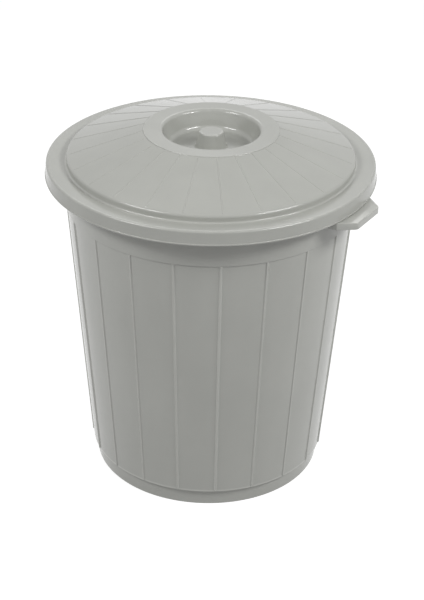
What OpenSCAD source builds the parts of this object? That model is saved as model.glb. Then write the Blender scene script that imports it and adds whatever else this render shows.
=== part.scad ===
// Round lidded waste bin of about 50 litres, moulded in two pieces.
// Millimetres. The origin is the middle of the foot, +Z is up,
// and the two handles lie on the X axis.

/* [Tub] */
// Outer diameter of the foot where it stands on the floor
foot_d = 331; // [300:1:350]
// Height of the rim's top above the floor
tub_h = 468.5; // [400:0.5:600]
// Height of the plain foot band
foot_h = 25.5; // [12:0.5:40]
// How far the panels stand out past the foot band
foot_step = 5.1; // [1:0.1:8]
// Height of the plain band between the panels and the top of the rim
band_h = 60; // [45:1:120]
// Depth of the panels below the band
panel_depth = 1.6; // [0.5:0.1:2.5]
// Number of ribs between the panels
rib_count = 20; // [8:1:36]
// Width of each rib
rib_w = 4; // [1.5:0.1:8]
// Height of each rib above the panels
rib_h = 1.5; // [0.5:0.1:2.4]
// Thickness of the side wall
wall_t = 2.6; // [1.8:0.1:4]
// Thickness of the floor
floor_t = 3; // [2:0.1:6]
// Height of the hollow under the floor
floor_lift = 4; // [2:0.5:8]
// Width of the ring that the tub stands on
foot_ring_w = 12; // [8:1:30]

/* [Rim and handles] */
// How far the rim stands out past the wall below it
rim_w = 18; // [10:0.5:26]
// Thickness of the rim's flange and of its turned-down edge
rim_t = 2.5; // [1.8:0.1:3.5]
// How far the rim's edge turns down
rim_drop = 12; // [7:0.5:14]
// How far each handle stands out past the rim
handle_reach = 22.5; // [14:0.5:40]
// Width of a handle where it leaves the rim
handle_root_w = 96; // [70:1:120]
// Width of a handle at its outer end, before its corners are rounded
handle_tip_w = 60; // [44:1:66]
// Radius of a handle's outer corners
handle_corner = 6; // [4:0.5:14]
// Thickness of a handle's walls
handle_t = 2.5; // [1.8:0.1:4]
// Height of a handle's turned-down edge, top face included
handle_h = 10; // [7:0.5:25]

/* [Lid] */
// Outer diameter of the lid
lid_d = 463; // [414:1:506]
// Thickness of the lid
lid_t = 2.5; // [1.8:0.1:3]
// Height of the skirt that hangs round the rim
skirt_h = 20.5; // [15:0.5:30]
// How far the skirt spreads out from its top to its lower edge
skirt_draft = 1.2; // [0:0.1:2.5]
// How far the bead along the skirt's lower edge stands out
bead_out = 0.8; // [0.4:0.1:1.5]
// Height of the bead
bead_h = 2.4; // [1.5:0.1:4]
// Width of the shelf along the lid's edge
shelf_w = 30.5; // [24:0.5:45]
// How far the shelf falls from the lid's edge to the step
shelf_dip = 2.2; // [0:0.1:4]
// Height of the step from the shelf up to the cone
step_h = 10; // [4:0.5:12]
// Height that the cone climbs from its lower edge to the ring
cone_rise = 34.5; // [20:0.5:60]
// Outer diameter of the raised ring round the well
ring_d = 190; // [180:1:240]
// Height of the ring above the cone
ring_step = 1.2; // [0.6:0.1:3]
// Number of ridges that run down the cone
ridge_count = 24; // [6:1:48]
// Width of each ridge
ridge_w = 1.8; // [1:0.1:4]
// Height of each ridge
ridge_h = 0.7; // [0.4:0.1:1.5]
// Angle by which the loose lid lies turned on the rim
lid_turn = 6.5; // [0:0.5:90]

/* [Well and knob] */
// Diameter of the well's mouth
well_d = 137; // [130:1:160]
// Diameter of the well's floor
well_floor_d = 120; // [100:1:128]
// Depth of the well below the ring
well_depth = 27; // [15:0.5:32]
// Diameter of the knob's top
knob_d = 33; // [26:0.5:40]
// Diameter of the knob's foot on the well's floor
knob_foot_d = 44; // [42:0.5:60]
// How far the knob's top lies below the ring
knob_drop = 3.5; // [0:0.5:5]

/* [Fit] */
// Gap between the lid's shelf and the rim that carries it
seat_gap = 0.3; // [0.2:0.1:1]
// Gap between the top of the lid's skirt and the rim's edge
skirt_gap = 1.2; // [1:0.1:4]
// Gap between the lid's skirt and the handles below it
handle_gap = 0.6; // [0.5:0.1:5]

/* [Hidden] */
$fn = 180;
round_steps = 6;
// Largest share of a side that one corner's round may take
round_share = 0.48;
plastic = [0.69, 0.7, 0.67];

// Tub radii and heights
foot_r = foot_d / 2;
foot_draft = 1;
foot_ring_r = foot_r - foot_ring_w;
floor_z = floor_lift + floor_t;
panel_top_z = tub_h - band_h;
flange_z = tub_h - rim_t;
rim_low_z = tub_h - rim_drop;
edge_r = lid_d / 2 - bead_out - skirt_draft;
rim_r = edge_r - lid_t - skirt_gap;
panel_low_r = foot_r + foot_draft + foot_step;
panel_high_r = rim_r - rim_w - panel_depth;
panel_slope = (panel_high_r - panel_low_r) / (flange_z - foot_h);
function panel_r(z) = panel_low_r + panel_slope * (z - foot_h);
function band_r(z) = panel_r(z) + panel_depth;
cavity_step_z = foot_h + wall_t;

// Corner radii of the tub
foot_round = 1.5;
step_round = 0.5;
rim_round = 1.8;
lip_round = 0.9;
floor_round = 12;
ring_round = 1.5;

// Lid radii and heights. The sloping shelf rests on the inner edge of the rim, so the lid's
// edge lies higher than the rim by what the shelf has risen there.
lid_r = lid_d / 2;
cone_r = lid_r - shelf_w;
draft = 0.6;
shelf_low_r = cone_r + draft;
mouth_r = panel_r(tub_h) - wall_t;
shelf_rise = shelf_dip * (edge_r - lid_t - mouth_r) / (edge_r - shelf_low_r);
shelf_z = tub_h + seat_gap + lid_t + shelf_rise;
shelf_low_z = shelf_z - shelf_dip;
skirt_low_z = shelf_z - skirt_h;
cone_low_z = shelf_low_z + step_h;
cone_high_z = cone_low_z + cone_rise;
ring_r = ring_d / 2;
ring_z = cone_high_z + ring_step;
cone_slope = cone_rise / (cone_r - ring_r);
function cone_z(r) = cone_high_z - cone_slope * (r - ring_r);
well_r = well_d / 2;
well_floor_r = well_floor_d / 2;
well_floor_z = ring_z - well_depth;
knob_z = ring_z - knob_drop;

// Corner radii of the lid
edge_round = 3;
bead_round = 1.1;
skirt_round = 0.8;
cone_round = 4;
inner_round = 1.5;
step_foot_round = 2.5;
ring_edge_round = 1;
mouth_round = 3.5;
well_round = 6;
knob_round = 2;
knob_foot_round = 3;

// Handle
handle_top_z = skirt_low_z - handle_gap;
handle_low_z = handle_top_z - handle_h;
handle_out = rim_r + handle_reach;
handle_run = [handle_reach, (handle_tip_w - handle_root_w) / 2];
handle_normal = [-handle_run[1], handle_run[0]] / norm(handle_run);
handle_side = handle_normal * [rim_r, handle_root_w / 2];
handle_root_x = panel_low_r;
// How far the rim's edge is drawn in where it is carried down to a handle
handle_draw = 0.3;
handle_corner_x = handle_out - handle_corner;
handle_corner_y = (handle_side - handle_corner - handle_normal[0] * handle_corner_x) / handle_normal[1];

// How deep a rib or ridge is bedded in the wall that carries it
bed = 1;
rib_low_z = foot_h + step_round;

// Points that round one corner b of an outline; a and c are its neighbours.
// The radius is limited so that the round stays on its two sides.
function corner(a, b, c, radius) =
    let (to_a = (a - b) / norm(a - b), to_c = (c - b) / norm(c - b))
    let (half = acos(max(-1, min(1, to_a * to_c))) / 2)
    let (reach = min(radius / tan(half), min(norm(a - b), norm(c - b)) * round_share))
    let (fillet = reach * tan(half), middle = b + (to_a + to_c) / norm(to_a + to_c) * fillet / sin(half))
    let (start = b + to_a * reach - middle, turn = sign(cross(to_a, to_c)) * (half * 2 - 180))
    [for (i = [0:round_steps]) middle + rotated(start, turn * i / round_steps)];

function rotated(p, angle) = [p[0] * cos(angle) - p[1] * sin(angle), p[0] * sin(angle) + p[1] * cos(angle)];

// Outline through points given as [x, y, corner radius]
function rounded(points) =
    let (n = len(points), xy = [for (p = points) [p[0], p[1]]])
    [for (i = [0:n - 1]) each points[i][2] > 0
        ? corner(xy[(i + n - 1) % n], xy[i], xy[(i + 1) % n], points[i][2])
        : [xy[i]]];

module tub_section() {
    polygon(rounded([
        [foot_ring_r, 0, step_round],
        [foot_r, 0, foot_round],
        [foot_r + foot_draft, foot_h, 0],
        [panel_low_r, foot_h, step_round],
        [panel_r(panel_top_z), panel_top_z, 0],
        [band_r(panel_top_z), panel_top_z, step_round],
        [band_r(flange_z), flange_z, rim_round],
        [rim_r - rim_t, flange_z, lip_round],
        [rim_r - rim_t, rim_low_z, lip_round],
        [rim_r, rim_low_z, lip_round],
        [rim_r, tub_h, rim_round],
        [panel_r(tub_h) - wall_t, tub_h, rim_round],
        [panel_r(cavity_step_z) - wall_t, cavity_step_z, step_round],
        [foot_r + foot_draft - wall_t, cavity_step_z, step_round],
        [foot_r - wall_t, floor_z, floor_round],
        [0, floor_z, 0],
        [0, floor_lift, 0],
        [foot_ring_r - draft, floor_lift, ring_round]
    ]));
}

// One rib, in the X-Z plane; it runs from the panels' lower edge up into the plain band
module rib() {
    rotate([90, 0, 0])
        linear_extrude(rib_w, center = true)
            polygon([
                [panel_r(rib_low_z) - bed, rib_low_z],
                [panel_r(rib_low_z) + rib_h, rib_low_z],
                [panel_r(panel_top_z + bed) + rib_h, panel_top_z + bed],
                [panel_r(panel_top_z + bed) - bed, panel_top_z + bed]
            ]);
}

// Half the plan outline of the handle on +X, drawn in by inset: straight out from root_x
// to the rim's edge, slanted in from there, then round its corner
function handle_half(inset, root_x) = concat(
    [[root_x, handle_root_w / 2 - inset]],
    [[(handle_side - inset - handle_normal[1] * (handle_root_w / 2 - inset)) / handle_normal[0],
        handle_root_w / 2 - inset]],
    [for (i = [0:round_steps])
        [handle_corner_x, handle_corner_y]
        + rotated([handle_corner - inset, 0], atan2(handle_normal[1], handle_normal[0]) * (1 - i / round_steps))]
);

module handle_outline(inset, root_x) {
    half = handle_half(inset, root_x);
    other = [for (i = [len(half) - 1:-1:0]) [half[i][0], -half[i][1]]];
    polygon(concat(half, other));
}

module handle_edge() {
    difference() {
        handle_outline(0, handle_root_x);
        handle_outline(handle_t, handle_root_x - handle_t);
    }
}

// A handle is a step in the rim's edge: a flat top with a turned-down edge,
// two side walls back to the tub, and the rim's own edge carried down to it
module handle() {
    difference() {
        union() {
            translate([0, 0, handle_top_z - handle_t])
                linear_extrude(handle_t)
                    difference() {
                        handle_outline(0, handle_root_x);
                        circle(rim_r - rim_t);
                    }
            translate([0, 0, handle_low_z])
                linear_extrude(handle_h)
                    handle_edge();
            translate([0, 0, handle_low_z])
                linear_extrude(flange_z + bed - handle_low_z)
                    intersection() {
                        handle_edge();
                        circle(rim_r - rim_t / 2);
                    }
            translate([0, 0, handle_top_z - handle_t])
                linear_extrude(flange_z + bed - handle_top_z + handle_t)
                    intersection() {
                        handle_outline(0, handle_root_x);
                        difference() {
                            circle(rim_r - handle_draw);
                            circle(rim_r - rim_t - handle_draw);
                        }
                    }
        }
        translate([0, 0, cavity_step_z])
            cylinder(
                h = tub_h - cavity_step_z,
                r1 = panel_r(cavity_step_z) - wall_t / 2,
                r2 = panel_r(tub_h) - wall_t / 2
            );
    }
}

module tub() {
    color(plastic)
        union() {
            rotate_extrude() tub_section();
            for (i = [0:rib_count - 1])
                rotate([0, 0, i * 360 / rib_count]) rib();
            for (side = [0, 1])
                rotate([0, 0, side * 180]) handle();
        }
}

// The lid is one shell: its upper outline from the knob out to the skirt,
// then the same line back again underneath
module lid_section() {
    polygon(rounded([
        [0, knob_z, 0],
        [knob_d / 2, knob_z, knob_round],
        [knob_foot_d / 2, well_floor_z, knob_foot_round],
        [well_floor_r, well_floor_z, well_round],
        [well_r, ring_z, mouth_round],
        [ring_r - draft, ring_z, ring_edge_round],
        [ring_r, cone_high_z, 0],
        [cone_r, cone_low_z, cone_round],
        [shelf_low_r, shelf_low_z, step_foot_round],
        [edge_r, shelf_z, edge_round],
        [lid_r - bead_out, skirt_low_z + bead_h, 0],
        [lid_r, skirt_low_z + bead_h, bead_round],
        [lid_r, skirt_low_z, bead_round],
        [lid_r - bead_out - lid_t, skirt_low_z, skirt_round],
        [edge_r - lid_t, shelf_z - lid_t, inner_round],
        [shelf_low_r - lid_t, shelf_low_z - lid_t, inner_round],
        [cone_r - lid_t, cone_low_z - lid_t + cone_slope * lid_t, cone_round],
        [ring_r, cone_high_z - lid_t, 0],
        [ring_r - draft - lid_t, ring_z - lid_t, ring_edge_round],
        [well_r + lid_t, ring_z - lid_t, mouth_round],
        [well_floor_r + lid_t, well_floor_z - lid_t, well_round + lid_t],
        [knob_foot_d / 2 - lid_t, well_floor_z - lid_t, knob_foot_round],
        [knob_d / 2 - lid_t, knob_z - lid_t, inner_round],
        [0, knob_z - lid_t, 0]
    ]));
}

// One ridge, in the X-Z plane, from the ring down to the rounded edge of the cone
module ridge() {
    top_r = ring_r - bed;
    low_r = cone_r - cone_round / 2;
    rotate([90, 0, 0])
        linear_extrude(ridge_w, center = true)
            polygon([
                [top_r, cone_z(ring_r) - bed],
                [top_r, cone_z(ring_r) + ridge_h],
                [ring_r, cone_z(ring_r) + ridge_h],
                [low_r, cone_z(low_r) + ridge_h],
                [low_r, cone_z(low_r) - bed]
            ]);
}

module lid() {
    color(plastic)
        union() {
            rotate_extrude() lid_section();
            for (i = [0:ridge_count - 1])
                rotate([0, 0, lid_turn + i * 360 / ridge_count]) ridge();
        }
}

tub();
lid();
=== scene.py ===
import math

import bmesh
import bpy
from mathutils import Matrix, Vector


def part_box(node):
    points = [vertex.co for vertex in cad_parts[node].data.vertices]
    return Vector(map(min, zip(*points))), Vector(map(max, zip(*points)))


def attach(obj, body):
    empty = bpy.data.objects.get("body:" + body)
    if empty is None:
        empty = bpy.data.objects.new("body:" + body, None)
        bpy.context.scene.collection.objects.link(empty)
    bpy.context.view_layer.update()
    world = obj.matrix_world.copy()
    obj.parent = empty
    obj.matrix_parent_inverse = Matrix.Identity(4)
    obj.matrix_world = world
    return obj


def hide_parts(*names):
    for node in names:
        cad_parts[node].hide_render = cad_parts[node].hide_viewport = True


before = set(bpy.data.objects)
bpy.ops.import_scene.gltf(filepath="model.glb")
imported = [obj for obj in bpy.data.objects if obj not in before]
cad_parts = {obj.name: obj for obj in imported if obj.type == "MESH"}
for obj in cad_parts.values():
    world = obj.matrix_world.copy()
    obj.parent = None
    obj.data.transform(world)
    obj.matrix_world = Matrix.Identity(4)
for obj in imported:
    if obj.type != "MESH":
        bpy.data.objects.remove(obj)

mm = 0.001
shaping = dict(
    cornerSteps=6, arcSteps=24, tipSteps=8, edgeSteps=4, sharpAngle=32,
    guard=0.5 * mm,                    # how far past a rounded corner its guard points lie
    sharedLine=0.48, ownLine=0.96,     # how much of the line next to it a rounded corner may take
    ribReach=1.2, ribRoom=0.5,         # close columns: how much of a rib's width, what share at most
    axisRadius=1 * mm,                 # nearer the axis than this, a rib keeps its angle
    axisWeld=0.001 * mm, sliver=0.003 * mm,
)
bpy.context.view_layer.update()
tubLow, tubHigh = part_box("tub")
lidLow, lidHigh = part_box("lid")


def addNode(tree, kind, inputs=None, **settings):
    made = tree.nodes.new(kind)
    for name, value in settings.items():
        setattr(made, name, value)
    for key, value in (inputs or {}).items():
        socket = made.inputs[key]
        if isinstance(value, bpy.types.NodeSocket):
            tree.links.new(value, socket)
        else:
            socket.default_value = value
    return made


def calculator(tree):
    # a short way to add Math nodes to one tree
    def calc(operation, *values):
        return addNode(tree, "ShaderNodeMath", dict(enumerate(values)), operation=operation).outputs[0]

    return calc


def emptyTree(owner):
    owner.use_nodes = True
    owner.node_tree.nodes.clear()
    return owner.node_tree


def addObject(name, data):
    made = bpy.data.objects.new(name, data)
    bpy.context.collection.objects.link(made)
    return made


def meshObject(name, verts, edges=(), faces=()):
    mesh = bpy.data.meshes.new(name)
    mesh.from_pydata(verts, edges, faces)
    return addObject(name, mesh)


def bakeModifiers(made, name):
    # the evaluated shape becomes a plain mesh, and the working object goes
    graph = bpy.context.evaluated_depsgraph_get()
    mesh = bpy.data.meshes.new_from_object(made.evaluated_get(graph))
    bpy.data.objects.remove(made)
    mesh.name = name
    return addObject(name, mesh)


def weldSlivers(made):
    # joining the handles leaves a few slivers, which go when their corners meet
    shape = bmesh.new()
    shape.from_mesh(made.data)
    bmesh.ops.remove_doubles(shape, verts=shape.verts, dist=shaping["sliver"])
    shape.to_mesh(made.data)
    shape.free()


def smoothShade(made):
    mesh = made.data
    mesh.polygons.foreach_set("use_smooth", [True] * len(mesh.polygons))
    mesh.set_sharp_from_angle(angle=math.radians(shaping["sharpAngle"]))


def roundedOutline(corners):
    # corners are (across, up, corner radius, rib share); a guard point on each side of a
    # rounded corner keeps its shading off the flat faces next to it
    steps, guard = shaping["cornerSteps"], shaping["guard"]
    line = []
    last = len(corners) - 1
    for i, (across, up, radius, share) in enumerate(corners):
        here = Vector((across, up))
        if i in (0, last) or radius == 0:
            line.append((here, share))
            continue
        toBefore = Vector(corners[i - 1][:2]) - here
        toAfter = Vector(corners[i + 1][:2]) - here
        half = toBefore.angle(toAfter) / 2
        # two rounded corners share the line between them, a plain one leaves it all to its neighbour
        shares = [shaping["sharedLine" if corners[j][2] else "ownLine"] for j in (i - 1, i + 1)]
        room = min(toBefore.length * shares[0], toAfter.length * shares[1])
        reach = min(radius / math.tan(half), room)
        toBefore.normalize()
        toAfter.normalize()
        bow = reach * math.tan(half)
        centre = here + (toBefore + toAfter).normalized() * bow / math.sin(half)
        start = here + toBefore * reach - centre
        side = 1 if toBefore.cross(toAfter) > 0 else -1
        sweep = side * (2 * half - math.pi)
        if guard < room - reach:
            line.append((here + toBefore * (reach + guard), share))
        for step in range(steps + 1):
            turned = Matrix.Rotation(sweep * step / steps, 2) @ start
            line.append((centre + turned, share))
        if guard < room - reach:
            line.append((here + toAfter * (reach + guard), share))
    return line


def outlineObject(name, corners, ribHeight, ribSide):
    # the outline as a line of points in the X-Z plane, with how far a rib lifts each one
    line = roundedOutline(corners)
    verts = [(point.x, 0, point.y) for point, share in line]
    made = meshObject(name, verts, edges=[(i, i + 1) for i in range(len(verts) - 1)])
    lift = made.data.attributes.new("ribLift", "FLOAT_VECTOR", "POINT")
    for entry, (point, share) in zip(lift.data, line):
        entry.vector = Vector((ribSide[0], 0, ribSide[1])) * ribHeight * share
    return made


# the moulded shell: an outline turned round the axis, with ribs along it
def mouldedShellTree():
    tree = bpy.data.node_groups.new("moulded shell", "GeometryNodeTree")
    calc = calculator(tree)
    sizes = [
        ("Outline", "NodeSocketGeometry"), ("Ribs", "NodeSocketInt"),
        ("Rib Width", "NodeSocketFloat"), ("Rib Shoulder", "NodeSocketFloat"),
        ("Columns On Rib", "NodeSocketInt"), ("Columns Between", "NodeSocketInt"),
        ("Turn", "NodeSocketFloat"), ("Plastic", "NodeSocketMaterial"),
    ]
    for name, kind in sizes:
        tree.interface.new_socket(name, in_out="INPUT", socket_type=kind)
    tree.interface.new_socket("Shell", in_out="OUTPUT", socket_type="NodeSocketGeometry")
    given = addNode(tree, "NodeGroupInput").outputs
    position = addNode(tree, "GeometryNodeInputPosition").outputs[0]

    # a sheet of columns round the axis by rows along the outline
    rows = addNode(tree, "GeometryNodeAttributeDomainSize", {0: given["Outline"]}).outputs["Point Count"]
    perRib = calc("ADD", given["Columns On Rib"], given["Columns Between"])
    around = calc("MULTIPLY", perRib, given["Ribs"])
    sheet = addNode(tree, "GeometryNodeMeshGrid", {
        "Size X": 1.0, "Size Y": 1.0, "Vertices X": calc("ADD", around, 1.0), "Vertices Y": rows,
    }).outputs["Mesh"]
    place = addNode(tree, "ShaderNodeSeparateXYZ", {0: position}).outputs
    column = calc("ROUND", calc("MULTIPLY", calc("ADD", place["X"], 0.5), around))
    lastRow = calc("SUBTRACT", rows, 1.0)
    row = calc("ROUND", calc("MULTIPLY", calc("ADD", place["Y"], 0.5), lastRow))

    # the outline's point and rib lift for this row
    def atRow(value):
        return addNode(tree, "GeometryNodeSampleIndex", {
            "Geometry": given["Outline"], "Value": value, "Index": row,
        }, data_type="FLOAT_VECTOR", domain="POINT").outputs[0]

    ribLift = addNode(tree, "GeometryNodeInputNamedAttribute", {
        "Name": "ribLift",
    }, data_type="FLOAT_VECTOR").outputs["Attribute"]
    here = addNode(tree, "ShaderNodeSeparateXYZ", {0: atRow(position)}).outputs
    lift = addNode(tree, "ShaderNodeSeparateXYZ", {0: atRow(ribLift)}).outputs
    radius = calc("MAXIMUM", here["X"], shaping["axisRadius"])

    # which rib this column belongs to, and where it lies between -1 and 1 across that rib's share
    rib = calc("FLOOR", calc("DIVIDE", column, perRib))
    inRib = calc("SUBTRACT", column, calc("MULTIPLY", rib, perRib))
    across = calc("SUBTRACT", calc("DIVIDE", calc("MULTIPLY", inRib, 2.0), perRib), 1.0)
    side = calc("SIGN", across)
    out = calc("ABSOLUTE", across)

    # columns stand close together over the rib and wide apart between ribs
    halfShare = calc("DIVIDE", math.pi, given["Ribs"])
    ribWhole = calc("ADD", given["Rib Width"], given["Rib Shoulder"])
    ribHalf = calc("MULTIPLY", ribWhole, shaping["ribReach"] / 2)
    ribMost = calc("MULTIPLY", halfShare, shaping["ribRoom"])
    ribAngle = calc("MINIMUM", calc("DIVIDE", ribHalf, radius), ribMost)
    onRib = calc("DIVIDE", given["Columns On Rib"], perRib)
    near = addNode(tree, "ShaderNodeMapRange", {
        "Value": out, "From Min": 0.0, "From Max": onRib, "To Min": 0.0, "To Max": ribAngle,
    }).outputs["Result"]
    far = addNode(tree, "ShaderNodeMapRange", {
        "Value": out, "From Min": onRib, "From Max": 1.0,
        "To Min": 0.0, "To Max": calc("SUBTRACT", halfShare, ribAngle),
    }).outputs["Result"]
    offset = calc("ADD", near, far)
    ribMiddle = calc("MULTIPLY", rib, calc("MULTIPLY", halfShare, 2.0))
    angle = calc("ADD", calc("ADD", ribMiddle, calc("MULTIPLY", side, offset)), given["Turn"])

    # the rib's rounded section
    fromMiddle = calc("MULTIPLY", offset, radius)
    halfWidth = calc("MULTIPLY", given["Rib Width"], 0.5)
    halfShoulder = calc("MULTIPLY", given["Rib Shoulder"], 0.5)
    raised = addNode(tree, "ShaderNodeMapRange", {
        "Value": fromMiddle, "From Min": calc("SUBTRACT", halfWidth, halfShoulder),
        "From Max": calc("ADD", halfWidth, halfShoulder), "To Min": 1.0, "To Max": 0.0,
    }, interpolation_type="SMOOTHSTEP").outputs["Result"]
    reach = calc("MULTIPLY_ADD", lift["X"], raised, here["X"])
    height = calc("MULTIPLY_ADD", lift["Z"], raised, here["Z"])
    turned = addNode(tree, "ShaderNodeCombineXYZ", {
        "X": calc("MULTIPLY", reach, calc("COSINE", angle)),
        "Y": calc("MULTIPLY", reach, calc("SINE", angle)), "Z": height,
    }).outputs[0]
    placed = addNode(tree, "GeometryNodeSetPosition", {"Geometry": sheet, "Position": turned}).outputs[0]
    closed = addNode(tree, "GeometryNodeMergeByDistance", {
        "Geometry": placed, "Distance": shaping["axisWeld"],
    }).outputs[0]
    real = addNode(tree, "GeometryNodeRealizeInstances", {"Geometry": closed}).outputs[0]
    coloured = addNode(tree, "GeometryNodeSetMaterial", {
        "Geometry": real, "Material": given["Plastic"],
    }).outputs[0]
    addNode(tree, "NodeGroupOutput", {"Shell": coloured})
    return tree


def mouldedShell(name, outline, tree, plastic, turn, ribs):
    # turn is in degrees, and ribs is (how many, width, shoulder, columns on each, columns between two)
    modifier = outline.modifiers.new("moulded shell", "NODES")
    modifier.node_group = tree
    sizes = ("Ribs", "Rib Width", "Rib Shoulder", "Columns On Rib", "Columns Between")
    values = dict(zip(sizes, ribs))
    values.update({"Turn": math.radians(turn), "Plastic": plastic})
    for item in tree.interface.items_tree:
        if item.in_out == "INPUT" and item.name in values:
            modifier[item.identifier] = values[item.name]
    return bakeModifiers(outline, name)


# satin grey plastic: faint clouds and flow in its colour, fine specks, a moulded grain, slow waves,
# paler, duller skin where it is rubbed, a painted highlight on the tops of the ribs and along given
# edges (the line above the foot's step), and painted shade that darkens given hollows
satin = dict(
    # each noise is its scale, detail and roughness, and nearly all of it lies in noiseMiddle
    noiseMiddle=(0.3, 0.7), ior=1.57, gloss=(0.12, 0.17), glossNoise=(14, 3, 0.5),
    cloudNoise=(9, 3, 0.5), cloudTone=(0.965, 1.03),
    flowNoise=(30, 2, 0.5), flowStretch=(1, 1, 0.12), flowTone=(0.985, 1.012),
    speckNoise=(900, 1, 0.5), speckCut=(0.24, 0.3), speckTone=0.9,
    rubNoise=(120, 3, 0.6), rubCut=(0.42, 0.68), wearAndHighlightPale=1.22, rubShare=0.25, rubGloss=0.12, rubCore=0.2,
    crownStart=0.6, crownHighlightShare=0.5, highlightEdgeShare=1, highlightEdgeCore=0.7, paintedShadeTone=0.87, paintedShadeCore=0.5,
    grainNoise=(1500, 3, 0.6), grainStrength=0.12, grainDepth=0.12 * mm,
    waveNoise=(16, 1, 0.5), waveStrength=0.15, waveDepth=1.2 * mm,
)


def greyPlastic(name, colour, rubbedZones, paintedShadeZones=(), paintedHighlightEdges=(), ribCrownHighlights=None):
    # zones and edges are (radius, height, size)
    made = bpy.data.materials.new(name)
    tree = emptyTree(made)
    calc = calculator(tree)
    at = addNode(tree, "ShaderNodeTexCoord").outputs["Object"]

    def noise(kind, stretch=(1, 1, 1)):
        scale, detail, roughness = kind
        spread = addNode(tree, "ShaderNodeMapping", {"Vector": at, "Scale": stretch}).outputs[0]
        return addNode(tree, "ShaderNodeTexNoise", {
            "Vector": spread, "Scale": scale, "Detail": detail, "Roughness": roughness,
        }).outputs["Fac"]

    def ramp(value, spread, results):
        return addNode(tree, "ShaderNodeMapRange", {
            "Value": value, "From Min": spread[0], "From Max": spread[1],
            "To Min": results[0], "To Max": results[1],
        }).outputs["Result"]

    def distance(one, other):
        return calc("SQRT", calc("ADD", calc("POWER", one, 2.0), calc("POWER", other, 2.0)))

    parts = addNode(tree, "ShaderNodeSeparateXYZ", {0: at}).outputs
    radius = distance(parts["X"], parts["Y"])

    def softBands(zones, core):
        # a soft band round each given radius and height
        band = None
        for zoneRadius, zoneHeight, zoneSize in zones:
            above = calc("SUBTRACT", parts["Z"], zoneHeight)
            away = distance(calc("SUBTRACT", radius, zoneRadius), above)
            zone = ramp(away, (zoneSize * core, zoneSize), (1.0, 0.0))
            band = zone if band is None else calc("MAXIMUM", band, zone)
        return band

    def bump(kind, strength, depth, under=None):
        inputs = {"Strength": strength, "Distance": depth, "Height": noise(kind)}
        if under is not None:
            inputs["Normal"] = under
        return addNode(tree, "ShaderNodeBump", inputs).outputs[0]

    # where hands, the floor or the other piece rub
    patches = ramp(noise(satin["rubNoise"]), satin["rubCut"], (0.0, 1.0))
    rubbed = calc("MULTIPLY", softBands(rubbedZones, satin["rubCore"]), patches)
    paler = calc("MULTIPLY", rubbed, satin["rubShare"])
    if ribCrownHighlights:
        # painted highlight: the tops of the ribs are paler too, out past most of a rib's height, below
        # the plain band
        baseRadius, baseHeight, slope, ribHeight, topHeight = ribCrownHighlights
        panel = calc("MULTIPLY_ADD", calc("SUBTRACT", parts["Z"], baseHeight), slope, baseRadius)
        crownSpread = (satin["crownStart"] * ribHeight, ribHeight)
        crownHighlight = ramp(calc("SUBTRACT", radius, panel), crownSpread, (0.0, satin["crownHighlightShare"]))
        below = calc("LESS_THAN", parts["Z"], topHeight)
        paler = calc("MAXIMUM", paler, calc("MULTIPLY", crownHighlight, below))
    # painted highlight: a paler band round each given edge, standing in for the light that edge catches
    if paintedHighlightEdges:
        paintedHighlight = calc("MULTIPLY", softBands(paintedHighlightEdges, satin["highlightEdgeCore"]), satin["highlightEdgeShare"])
        paler = calc("MAXIMUM", paler, paintedHighlight)

    middle = satin["noiseMiddle"]
    clouds = ramp(noise(satin["cloudNoise"]), middle, satin["cloudTone"])
    flow = ramp(noise(satin["flowNoise"], satin["flowStretch"]), middle, satin["flowTone"])
    specks = ramp(noise(satin["speckNoise"]), satin["speckCut"], (satin["speckTone"], 1.0))
    tone = calc("MULTIPLY", calc("MULTIPLY", clouds, flow), specks)
    # painted shade: given hollows are made darker, standing in for the shade that falls in them
    if paintedShadeZones:
        shadeBand = softBands(paintedShadeZones, satin["paintedShadeCore"])
        paintedShade = ramp(shadeBand, (0.0, 1.0), (1.0, satin["paintedShadeTone"]))
        tone = calc("MULTIPLY", tone, paintedShade)
    toned = addNode(tree, "ShaderNodeVectorMath", {
        0: colour, "Scale": tone,
    }, operation="SCALE").outputs[0]
    # the paler colour serves both the rubbed wear and the painted highlights
    pale = tuple(min(1, part * satin["wearAndHighlightPale"]) for part in colour)
    # inputs 6 and 7 and output 2 are this node's colours
    surface = addNode(tree, "ShaderNodeMix", {
        "Factor": paler, 6: toned, 7: (*pale, 1),
    }, data_type="RGBA").outputs[2]

    gloss = ramp(noise(satin["glossNoise"]), middle, satin["gloss"])
    gloss = calc("ADD", gloss, calc("MULTIPLY", rubbed, satin["rubGloss"]))
    grain = bump(satin["grainNoise"], satin["grainStrength"], satin["grainDepth"])
    waves = bump(satin["waveNoise"], satin["waveStrength"], satin["waveDepth"], grain)
    plastic = addNode(tree, "ShaderNodeBsdfPrincipled", {
        "Base Color": surface, "Roughness": gloss, "IOR": satin["ior"], "Normal": waves,
    }).outputs[0]
    addNode(tree, "ShaderNodeOutputMaterial", {"Surface": plastic})
    return made


# tub
tub = dict(
    footRadius=165.5 * mm, footHeight=25.5 * mm, footStep=5.1 * mm, footDraft=1 * mm, footRing=12 * mm,
    wall=2.6 * mm, floor=3 * mm, floorLift=4 * mm, bandHeight=60 * mm, panelDepth=1.6 * mm,
    rimWidth=18 * mm, rimThick=2.5 * mm, rimDrop=12 * mm,
    ribs=20, ribWidth=3.2 * mm, ribHeight=1.5 * mm, ribShoulder=1.6 * mm, ribEnd=0.8 * mm,
    footRound=1.5 * mm, stepRound=0.5 * mm, ringRound=1.5 * mm, floorRound=12 * mm,
    rimRound=1.8 * mm, lipRound=0.9 * mm,
    footRub=7 * mm, footRubIn=3 * mm, stepRub=3 * mm, rimRub=3.5 * mm, stepHighlight=4.8 * mm,
    columnsOnRib=12, columnsBetween=8, turn=0,
    # painted light: the tub is the lid's plastic, made about 12 % paler than the lid's colour so its
    # walls read brighter than the lamps light them
    colour=(0.458, 0.463, 0.4315),
)
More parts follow.
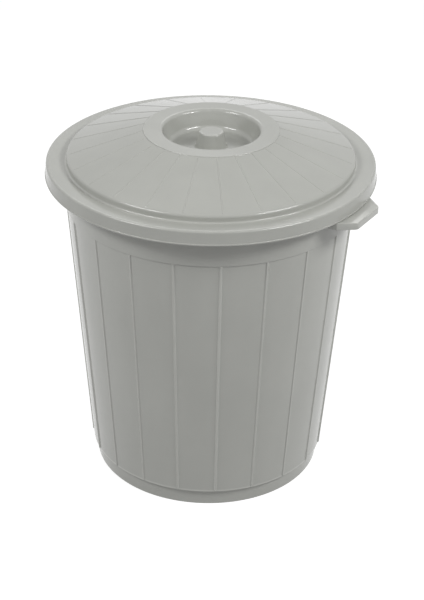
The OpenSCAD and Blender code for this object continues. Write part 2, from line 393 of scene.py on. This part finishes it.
handle = dict(
    rootWidth=96 * mm, tipWidth=60 * mm, cornerRadius=6 * mm, thick=2.5 * mm, height=10 * mm,
    skirtGap=0.6 * mm, topRound=1.2 * mm, lowRound=0.5 * mm, hollowRound=0.8 * mm,
    rimDrawIn=0.3 * mm, sideDrawIn=0.2 * mm, wallBite=0.4 * mm, tipRub=7 * mm, tipRubIn=4 * mm,
)
rimRadius = tubHigh.y
tubTop = tubHigh.z
flangeLow = tubTop - tub["rimThick"]
panelTop = tubTop - tub["bandHeight"]
panelLowRadius = tub["footRadius"] + tub["footDraft"] + tub["footStep"]
panelHighRadius = rimRadius - tub["rimWidth"] - tub["panelDepth"]
panelSlope = (panelHighRadius - panelLowRadius) / (flangeLow - tub["footHeight"])
handleTop = lidLow.z - handle["skirtGap"]


def panelRadius(height):
    return panelLowRadius + panelSlope * (height - tub["footHeight"])


def bandRadius(height):
    return panelRadius(height) + tub["panelDepth"]


def tubOutline():
    foot, wall, rim = tub["footRadius"], tub["wall"], tub["rimThick"]
    footHigh, draft = tub["footHeight"], tub["footDraft"]
    stepRound, rimRound, lipRound = tub["stepRound"], tub["rimRound"], tub["lipRound"]
    ringInner = foot - tub["footRing"]
    ribLow = footHigh + tub["ribEnd"]
    ribFull = ribLow + tub["ribEnd"]
    cavityStep = footHigh + wall
    rimLow = tubTop - tub["rimDrop"]
    floorTop = tub["floorLift"] + tub["floor"]
    return [
        (0, tub["floorLift"], 0, 0),
        (ringInner - draft, tub["floorLift"], tub["ringRound"], 0),
        (ringInner, 0, stepRound, 0),
        (foot, 0, tub["footRound"], 0),
        (foot + draft, footHigh, stepRound, 0),
        (panelLowRadius, footHigh, stepRound, 0),
        (panelRadius(ribLow), ribLow, 0, 0),
        (panelRadius(ribFull), ribFull, 0, 1),
        (panelRadius(panelTop), panelTop, 0, 1),
        (bandRadius(panelTop), panelTop, stepRound, 0),
        (bandRadius(flangeLow), flangeLow, rimRound, 0),
        (rimRadius - rim, flangeLow, lipRound, 0),
        (rimRadius - rim, rimLow, lipRound, 0),
        (rimRadius, rimLow, lipRound, 0),
        (rimRadius, tubTop, rimRound, 0),
        (panelRadius(tubTop) - wall, tubTop, rimRound, 0),
        (panelRadius(cavityStep) - wall, cavityStep, stepRound, 0),
        (foot + draft - wall, cavityStep, stepRound, 0),
        (foot - wall, floorTop, tub["floorRound"], 0),
        (0, floorTop, 0, 0),
    ]


def loftedSolid(name, rings):
    # closed solid through rings of points of equal count, capped at both ends
    shape = bmesh.new()
    rows = [[shape.verts.new(point) for point in ring] for ring in rings]
    for low, high in zip(rows, rows[1:]):
        for i in range(len(low)):
            j = (i + 1) % len(low)
            shape.faces.new((low[i], low[j], high[j], high[i]))
    shape.faces.new(reversed(rows[0]))
    shape.faces.new(rows[-1])
    bmesh.ops.recalc_face_normals(shape, faces=shape.faces)
    mesh = bpy.data.meshes.new(name)
    shape.to_mesh(mesh)
    shape.free()
    return addObject(name, mesh)


def arcAcross(radius, halfWidth):
    # points of a circle round the axis between y = -halfWidth and y = halfWidth, on the +X side
    reach, steps = math.asin(halfWidth / radius), shaping["arcSteps"]
    turns = [reach * (2 * i / steps - 1) for i in range(steps + 1)]
    return [(radius * math.cos(turn), radius * math.sin(turn)) for turn in turns]


def handlePlan(inset, rootRadius):
    # the handle's outline seen from above, drawn in by inset: out from the wall, slanted in
    # from the rim, round the two corners of its tip, and back
    root, tip = handle["rootWidth"] / 2, handle["tipWidth"] / 2
    tipX = tubHigh.x
    slantX, slantY = tipX - rimRadius, tip - root
    length = math.hypot(slantX, slantY)
    normal = Vector((-slantY / length, slantX / length))
    side = normal.dot(Vector((rimRadius, root)))
    corner = handle["cornerRadius"]
    middle = Vector((tipX - corner, (side - corner - normal.x * (tipX - corner)) / normal.y))
    half = root - inset
    upper = [Vector(((side - inset - normal.y * half) / normal.x, half))]
    first = math.atan2(normal.y, normal.x)
    steps = shaping["tipSteps"]
    for i in range(steps + 1):
        turn = first * (1 - i / steps)
        upper.append(middle + (corner - inset) * Vector((math.cos(turn), math.sin(turn))))
    lower = [Vector((point.x, -point.y)) for point in reversed(upper)]
    rootArc = [Vector(point) for point in arcAcross(rootRadius, half)]
    return upper + lower + rootArc


def ringsAt(levels):
    # each level is a height and the plan's points there
    return [[(point[0], point[1], height) for point in plan] for height, plan in levels]


def pocketPlan(outerRadius, innerRadius, halfWidth):
    return arcAcross(outerRadius, halfWidth) + list(reversed(arcAcross(innerRadius, halfWidth)))


def applyCut(target, other, operation):
    cut = target.modifiers.new(operation.lower(), "BOOLEAN")
    cut.operation = operation
    cut.solver = "MANIFOLD"
    cut.object = other


def quarterRound(radius):
    # (height left, inset) pairs from a side up onto the face that closes it
    steps = shaping["edgeSteps"]
    turns = [math.pi / 2 * i / steps for i in range(steps + 1)]
    return [(radius * (1 - math.sin(turn)), radius * (1 - math.cos(turn))) for turn in turns]


def handleSolid():
    top, thick = handleTop, handle["thick"]
    low = top - handle["height"]
    under = top - thick
    below = low - thick      # cuts start clear below the handle
    flangeMiddle = (flangeLow + tubTop) / 2
    wallLow = bandRadius(low) - tub["wall"] / 2
    wallHigh = bandRadius(flangeLow) - tub["wall"] / 2
    inWall = wallLow + handle["wallBite"]
    lipOuter = rimRadius - handle["rimDrawIn"]
    lipInner = lipOuter - thick
    rimHalf = handle["rootWidth"] / 2 - handle["sideDrawIn"]
    pocketHalf = rimHalf - thick

    levels = [(low + rise, inset) for rise, inset in reversed(quarterRound(handle["lowRound"]))]
    levels += [(top - drop, inset) for drop, inset in quarterRound(handle["topRound"])]
    block = loftedSolid("handleBlock", ringsAt([(z, handlePlan(inset, wallLow)) for z, inset in levels]))
    rimBlock = loftedSolid("handleRim", ringsAt([
        (under, pocketPlan(lipOuter, wallHigh, rimHalf)),
        (flangeMiddle, pocketPlan(lipOuter, wallHigh, rimHalf)),
    ]))
    hollowLevels = [(below, 0)]
    hollowLevels += [(under - drop, inset) for drop, inset in quarterRound(handle["hollowRound"])]
    hollow = loftedSolid("handleHollow", ringsAt([
        (z, handlePlan(thick + inset, inWall)) for z, inset in hollowLevels
    ]))
    pocket = loftedSolid("handlePocket", ringsAt([
        (below, pocketPlan(lipInner, inWall, pocketHalf)),
        (flangeLow + handle["wallBite"], pocketPlan(lipInner, wallHigh, pocketHalf)),
    ]))
    applyCut(block, rimBlock, "UNION")
    applyCut(block, hollow, "DIFFERENCE")
    applyCut(block, pocket, "DIFFERENCE")
    made = bakeModifiers(block, "handle")
    for other in (rimBlock, hollow, pocket):
        bpy.data.objects.remove(other)
    return made


def makeTub(tree):
    step = tub["footHeight"]
    plastic = greyPlastic(
        "tub plastic", tub["colour"],
        rubbedZones=[
            (tub["footRadius"] - tub["footRubIn"], 0, tub["footRub"]),
            (panelLowRadius, step, tub["stepRub"]),
            (rimRadius, tubTop, tub["rimRub"]),
            (tubHigh.x - handle["tipRubIn"], handleTop, handle["tipRub"]),
        ],
        # painted highlight on the panels' lower edge above the foot's step, which also lightens the
        # shade just under the step
        paintedHighlightEdges=[(panelLowRadius - tub["footStep"] / 2, step, tub["stepHighlight"])],
        # painted highlight along the tops of the ribs
        ribCrownHighlights=(panelLowRadius, step, panelSlope, tub["ribHeight"], panelTop - tub["stepRound"]),
    )
    outline = outlineObject("tubOutline", tubOutline(), tub["ribHeight"], (1, 0))
    ribs = [tub[size] for size in (
        "ribs", "ribWidth", "ribShoulder", "columnsOnRib", "columnsBetween",
    )]
    shell = mouldedShell("tubShell", outline, tree, plastic, tub["turn"], ribs)
    handles = []
    for turn in (0, math.pi):
        one = handleSolid()
        one.data.transform(Matrix.Rotation(turn, 4, "Z"))
        one.data.materials.clear()
        one.data.materials.append(plastic)
        applyCut(shell, one, "UNION")
        handles.append(one)
    made = bakeModifiers(shell, "wasteTub")
    for one in handles:
        bpy.data.objects.remove(one)
    weldSlivers(made)
    smoothShade(made)
    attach(made, "tub_body")
    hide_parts("tub")
    print("tub:", len(made.data.polygons), "faces")


# lid
lid = dict(
    wall=2.5 * mm, shelfWidth=30.5 * mm, shelfDip=2.2 * mm, stepHeight=10 * mm, coneRise=34.5 * mm,
    beadOut=0.8 * mm, beadHeight=2.4 * mm, ringRadius=95 * mm,
    ringStep=1.2 * mm, wellRadius=68.5 * mm, wellFloorRadius=60 * mm, wellDepth=27 * mm,
    knobRadius=16.5 * mm, knobFootRadius=22 * mm, knobDrop=3.5 * mm, draft=0.6 * mm, skirtDraft=1.2 * mm,
    ridges=24, ridgeWidth=1.8 * mm, ridgeHeight=0.55 * mm, ridgeShoulder=0.7 * mm, ridgeStop=3.6 * mm,
    ridgeEnd=0.8 * mm, turn=6.5,
    edgeRound=3 * mm, beadFoot=0.4 * mm, beadRound=1.1 * mm, skirtRound=0.8 * mm, coneRound=4 * mm,
    stepFootRound=2.5 * mm, innerRound=1.5 * mm, ringRound=1 * mm,
    mouthRound=5.5 * mm, wellRound=8 * mm, knobRound=2 * mm, knobFootRound=3 * mm,
    edgeRub=4 * mm, knobRub=4 * mm, mouthRub=3.5 * mm, paintedShadeSize=20 * mm,
    columnsOnRidge=10, columnsBetween=6,
    colour=(0.405, 0.41, 0.381),
)
lidRadius = lidHigh.x
lidTop = lidHigh.z
skirtLow = lidLow.z
edgeRadius = lidRadius - lid["beadOut"] - lid["skirtDraft"]
coneRadius = lidRadius - lid["shelfWidth"]
shelfLowRadius = coneRadius + lid["draft"]
coneHigh = lidTop - lid["ringStep"]
coneLow = coneHigh - lid["coneRise"]
shelfLow = coneLow - lid["stepHeight"]
shelfHigh = shelfLow + lid["shelfDip"]
coneSlope = lid["coneRise"] / (coneRadius - lid["ringRadius"])


def lidOutline():
    wall, draft, ring = lid["wall"], lid["draft"], lid["ringRadius"]
    beadRoot, beadHigh = lidRadius - lid["beadOut"], skirtLow + lid["beadHeight"]
    well, wellFloor = lid["wellRadius"], lid["wellFloorRadius"]
    knob, knobFoot = lid["knobRadius"], lid["knobFootRadius"]
    coneRound, innerRound = lid["coneRound"], lid["innerRound"]
    floorHigh = lidTop - lid["wellDepth"]
    knobHigh = lidTop - lid["knobDrop"]
    ridgeEnd = coneRadius - lid["ridgeStop"]
    ridgeFade = ridgeEnd - lid["ridgeEnd"]

    def coneHeight(radius):
        return coneHigh - coneSlope * (radius - ring)

    upper = [
        (0, knobHigh, 0, 0),
        (knob, knobHigh, lid["knobRound"], 0),
        (knobFoot, floorHigh, lid["knobFootRound"], 0),
        (wellFloor, floorHigh, lid["wellRound"], 0),
        (well, lidTop, lid["mouthRound"], 0),
        (ring - draft, lidTop, lid["ringRound"], 0),
        (ring, coneHigh, 0, 1),
        (ridgeFade, coneHeight(ridgeFade), 0, 1),
        (ridgeEnd, coneHeight(ridgeEnd), 0, 0),
        (coneRadius, coneLow, coneRound, 0),
        (shelfLowRadius, shelfLow, lid["stepFootRound"], 0),
        (edgeRadius, shelfHigh, lid["edgeRound"], 0),
        (beadRoot, beadHigh, lid["beadFoot"], 0),
        (lidRadius, beadHigh, lid["beadRound"], 0),
        (lidRadius, skirtLow, lid["beadRound"], 0),
        (beadRoot - wall, skirtLow, lid["skirtRound"], 0),
        (edgeRadius - wall, shelfHigh - wall, innerRound, 0),
        (shelfLowRadius - wall, shelfLow - wall, innerRound, 0),
        (coneRadius - wall, coneLow - wall + coneSlope * wall, coneRound, 0),
        (ring, coneHigh - wall, 0, 0),
        (ring - draft - wall, lidTop - wall, lid["ringRound"], 0),
        (well + wall, lidTop - wall, lid["mouthRound"], 0),
        (wellFloor + wall, floorHigh - wall, lid["wellRound"] + wall, 0),
        (knobFoot - wall, floorHigh - wall, lid["knobFootRound"], 0),
        (knob - wall, knobHigh - wall, innerRound, 0),
        (0, knobHigh - wall, 0, 0),
    ]
    return upper[::-1]       # from under the knob outwards, as the tub's outline runs


def makeLid(tree):
    wellMiddle = (lid["knobFootRadius"] + lid["wellFloorRadius"]) / 2
    plastic = greyPlastic(
        "lid plastic", lid["colour"],
        rubbedZones=[
            (lidRadius, skirtLow, lid["edgeRub"]),
            (edgeRadius, shelfHigh, lid["edgeRub"]),
            (lid["knobRadius"], lidTop - lid["knobDrop"], lid["knobRub"]),
            (lid["wellRadius"], lidTop, lid["mouthRub"]),
        ],
        # painted shade on the well's floor, where the well's walls keep the light off
        paintedShadeZones=[(wellMiddle, lidTop - lid["wellDepth"], lid["paintedShadeSize"])],
    )
    slopeTurn = math.atan(coneSlope)
    ridgeSide = (math.sin(slopeTurn), math.cos(slopeTurn))
    outline = outlineObject("lidOutline", lidOutline(), lid["ridgeHeight"], ridgeSide)
    ridges = [lid[size] for size in (
        "ridges", "ridgeWidth", "ridgeShoulder", "columnsOnRidge", "columnsBetween",
    )]
    made = mouldedShell("wasteLid", outline, tree, plastic, lid["turn"], ridges)
    smoothShade(made)
    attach(made, "lid_body")
    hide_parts("lid")
    print("lid:", len(made.data.polygons), "faces")


# studio
studio = dict(
    cameraPlace=(1.1091, -1.7977, 1.4297), cameraTurn=31.55, cameraTilt=60.713, cameraRoll=0.904,
    lens=99.414, sensor=36.0,
    ambient=0.33, floorSize=40, floorColour=(0.4, 0.4, 0.4), floorLift=0.8,
    lampRise=43, lampDistance=2.3,
    # degrees round from the camera's side, watts, width and depth
    lamps=((-57, 18.7, 1.1, 0.45), (57, 23.8, 1.1, 0.45), (180, 5, 1.2, 0.7)),
)


def makeCamera():
    lens = bpy.data.cameras.new("photo camera")
    lens.lens = studio["lens"]
    lens.sensor_width = studio["sensor"]
    camera = addObject("photo camera", lens)
    camera.matrix_world = (
        Matrix.Translation(studio["cameraPlace"])
        @ Matrix.Rotation(math.radians(studio["cameraTurn"]), 4, "Z")
        @ Matrix.Rotation(math.radians(studio["cameraTilt"]), 4, "X")
        @ Matrix.Rotation(math.radians(studio["cameraRoll"]), 4, "Z")
    )
    bpy.context.scene.camera = camera


def makeLamps():
    # one long soft box high on each side of the camera, and a weak broad one behind the bin
    rise = math.radians(studio["lampRise"])
    target = Vector((0, 0, tubTop / 2))
    for away, power, width, depth in studio["lamps"]:
        lamp = bpy.data.lights.new("soft box", "AREA")
        lamp.shape = "RECTANGLE"
        lamp.size = width
        lamp.size_y = depth
        lamp.energy = power
        made = addObject("soft box", lamp)
        turn = math.radians(studio["cameraTurn"] - 90 + away)
        made.location = target + studio["lampDistance"] * Vector(
            (math.cos(rise) * math.cos(turn), math.cos(rise) * math.sin(turn), math.sin(rise)))
        made.rotation_euler = (target - made.location).to_track_quat("-Z", "Y").to_euler()


def makeWorld():
    # plain white where the camera or a reflection sees it, and dimmer as light on the bin
    world = bpy.data.worlds.new("studio")
    tree = emptyTree(world)
    calc = calculator(tree)
    path = addNode(tree, "ShaderNodeLightPath").outputs
    seen = calc("MAXIMUM", path["Is Camera Ray"], path["Is Glossy Ray"])
    seen = calc("MAXIMUM", seen, path["Is Transmission Ray"])
    strength = addNode(tree, "ShaderNodeMapRange", {
        "Value": seen, "From Min": 0.0, "From Max": 1.0, "To Min": studio["ambient"], "To Max": 1.0,
    }).outputs["Result"]
    sky = addNode(tree, "ShaderNodeBackground", {"Color": (1, 1, 1, 1), "Strength": strength}).outputs[0]
    addNode(tree, "ShaderNodeOutputWorld", {"Surface": sky})
    bpy.context.scene.world = world


def makeFloor():
    # matt, with a glow where the camera or a reflection sees it: white, but it keeps the bin's shadow
    half = studio["floorSize"] / 2
    corners = [(-half, -half, 0), (half, -half, 0), (half, half, 0), (-half, half, 0)]
    made = meshObject("floor", corners, faces=[(0, 1, 2, 3)])
    paint = bpy.data.materials.new("studio floor")
    tree = emptyTree(paint)
    calc = calculator(tree)
    path = addNode(tree, "ShaderNodeLightPath").outputs
    seen = calc("MAXIMUM", path["Is Camera Ray"], path["Is Glossy Ray"])
    matt = addNode(tree, "ShaderNodeBsdfDiffuse", {"Color": (*studio["floorColour"], 1)}).outputs[0]
    glow = addNode(tree, "ShaderNodeEmission", {
        "Color": (1, 1, 1, 1), "Strength": calc("MULTIPLY", seen, studio["floorLift"]),
    }).outputs[0]
    both = addNode(tree, "ShaderNodeAddShader", {0: matt, 1: glow}).outputs[0]
    addNode(tree, "ShaderNodeOutputMaterial", {"Surface": both})
    made.data.materials.append(paint)


makeCamera()
makeLamps()
makeWorld()
makeFloor()
bpy.context.scene.view_settings.view_transform = "Standard"
print("studio ready")
shellTree = mouldedShellTree()
makeTub(shellTree)
makeLid(shellTree)
